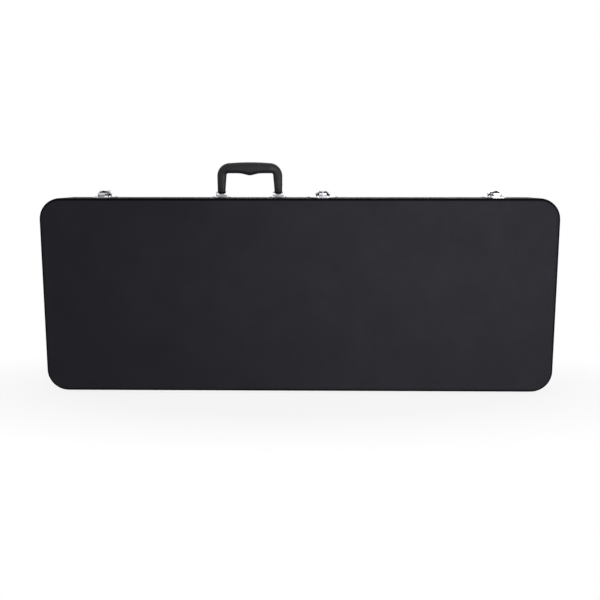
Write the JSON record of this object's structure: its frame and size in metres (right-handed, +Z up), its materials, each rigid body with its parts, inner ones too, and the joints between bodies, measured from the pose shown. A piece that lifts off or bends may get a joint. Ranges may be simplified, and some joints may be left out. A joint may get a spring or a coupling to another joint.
{
  "type": "guitar case",
  "caption": "Rectangular hard-shell case for an electric guitar, standing on its spine, with draw latches, a swinging handle, a hinged lid and a padded interior with a lidded pocket.",
  "frame": {"origin": "centre of the bounding box's base, at the bottom of the feet under the spine", "axes": "+X along the case, towards the neck end, with the handle nearer -X; -Y towards the lid's panel and +Y towards the base's panel; +Z up, towards the latches and handle"},
  "size_m": [1.05, 0.11, 0.4765],
  "materials": {
    "vinyl": "fine grained black vinyl covering",
    "plywood": "plain plywood",
    "chrome": "plated pressed steel",
    "steel": "bare steel strip",
    "handle_plastic": "moulded black plastic with a leather grain",
    "plush": "short black plush over foam",
    "webbing": "flat woven tape",
    "lip_plastic": "smooth black strip",
    "foot_rubber": "matt black rubber",
    "lock_brass": "turned plug"
  },
  "bodies": {
    "base": {"base_shell": "plywood", "base_covering": "vinyl", "base_lip": "lip_plastic", "base_wall_lining": "plush", "base_floor_pad": "plush", "cradle_upper": "plush", "cradle_lower": "plush", "neck_support": "plush", "pocket_box": "plush", "spine_feet_base": "foot_rubber", "hinge_1_base_leaf": "chrome", "hinge_2_base_leaf": "chrome", "hinge_3_base_leaf": "chrome", "hinge_4_base_leaf": "chrome", "hinge_pins": "chrome", "hinge_rivets_base": "chrome", "latch_left_plate": "chrome", "latch_middle_plate": "chrome", "latch_right_plate": "chrome", "latch_pivot_pins": "chrome", "latch_rivets_base": "chrome", "handle_saddle_left": "chrome", "handle_saddle_right": "chrome", "handle_backing_plates": "steel", "handle_rivets": "chrome"},
    "lid": {"lid_shell": "plywood", "lid_covering": "vinyl", "lid_pad": "plush", "lid_wall_lining": "plush", "spine_feet_lid": "foot_rubber", "hinge_1_lid_leaf": "chrome", "hinge_2_lid_leaf": "chrome", "hinge_3_lid_leaf": "chrome", "hinge_4_lid_leaf": "chrome", "hinge_rivets_lid": "chrome", "latch_left_catch": "chrome", "latch_middle_catch": "chrome", "latch_right_catch": "chrome", "latch_rivets_lid": "chrome"},
    "lever_left": {"latch_left_lever": "chrome", "latch_left_hasp_pin": "chrome"},
    "hasp_left": {"latch_left_hasp": "chrome"},
    "lever_middle": {"latch_middle_lever": "chrome", "latch_middle_hasp_pin": "chrome", "lock_barrel": "chrome"},
    "hasp_middle": {"latch_middle_hasp": "chrome"},
    "lever_right": {"latch_right_lever": "chrome", "latch_right_hasp_pin": "chrome"},
    "hasp_right": {"latch_right_hasp": "chrome"},
    "lock": {"lock_plug": "lock_brass"},
    "rings": {"handle_ring_left": "chrome", "handle_ring_right": "chrome"},
    "handle": {"handle_grip": "handle_plastic", "handle_core": "steel"},
    "pocket_flap": {"pocket_lid": "plush", "pocket_lid_tab": "webbing"}
  },
  "joints": [
    {"name": "lid_hinge", "type": "hinge", "parent": "base", "child": "lid", "pos_m": [0, -0.013, 0.0027], "axis": [1, 0, 0], "range_deg": [0, 170]},
    {"name": "lever_left_lift", "type": "hinge", "parent": "base", "child": "lever_left", "pos_m": [-0.402, 0, 0.4125], "axis": [1, 0, 0], "range_deg": [0, 90]},
    {"name": "hasp_left_swing", "type": "hinge", "parent": "lever_left", "child": "hasp_left", "pos_m": [-0.402, 0.009, 0.4105], "axis": [1, 0, 0], "range_deg": [-120.5, 0]},
    {"name": "lever_middle_lift", "type": "hinge", "parent": "base", "child": "lever_middle", "pos_m": [0.049, 0, 0.4125], "axis": [1, 0, 0], "range_deg": [0, 90]},
    {"name": "hasp_middle_swing", "type": "hinge", "parent": "lever_middle", "child": "hasp_middle", "pos_m": [0.049, 0.009, 0.4105], "axis": [1, 0, 0], "range_deg": [-120.5, 0]},
    {"name": "lever_right_lift", "type": "hinge", "parent": "base", "child": "lever_right", "pos_m": [0.402, 0, 0.4125], "axis": [1, 0, 0], "range_deg": [0, 90]},
    {"name": "hasp_right_swing", "type": "hinge", "parent": "lever_right", "child": "hasp_right", "pos_m": [0.402, 0.009, 0.4105], "axis": [1, 0, 0], "range_deg": [-120.5, 0]},
    {"name": "lock_turn", "type": "hinge", "parent": "lever_middle", "child": "lock", "pos_m": [0.049, 0.0249, 0.412], "axis": [0, 0, 1], "range_deg": [0, 90]},
    {"name": "ring_swing", "type": "hinge", "parent": "base", "child": "rings", "pos_m": [-0.103, 0.02, 0.4071], "axis": [1, 0, 0], "range_deg": [-45, 45]},
    {"name": "handle_tilt", "type": "hinge", "parent": "rings", "child": "handle", "pos_m": [-0.103, 0.02, 0.4147], "axis": [1, 0, 0], "range_deg": [-33, 33]},
    {"name": "pocket_flap_lift", "type": "hinge", "parent": "base", "child": "pocket_flap", "pos_m": [0.235, 0.0049, 0.0184], "axis": [1, 0, 0], "range_deg": [0, 86]}
  ],
  "couplings": [
    {"joint": "hasp_left_swing", "follows": "lever_left_lift", "ratio": -1.3333},
    {"joint": "hasp_middle_swing", "follows": "lever_middle_lift", "ratio": -1.3333},
    {"joint": "hasp_right_swing", "follows": "lever_right_lift", "ratio": -1.3333},
    {"joint": "pocket_flap_lift", "follows": "lid_hinge", "ratio": 0.5}
  ]
}
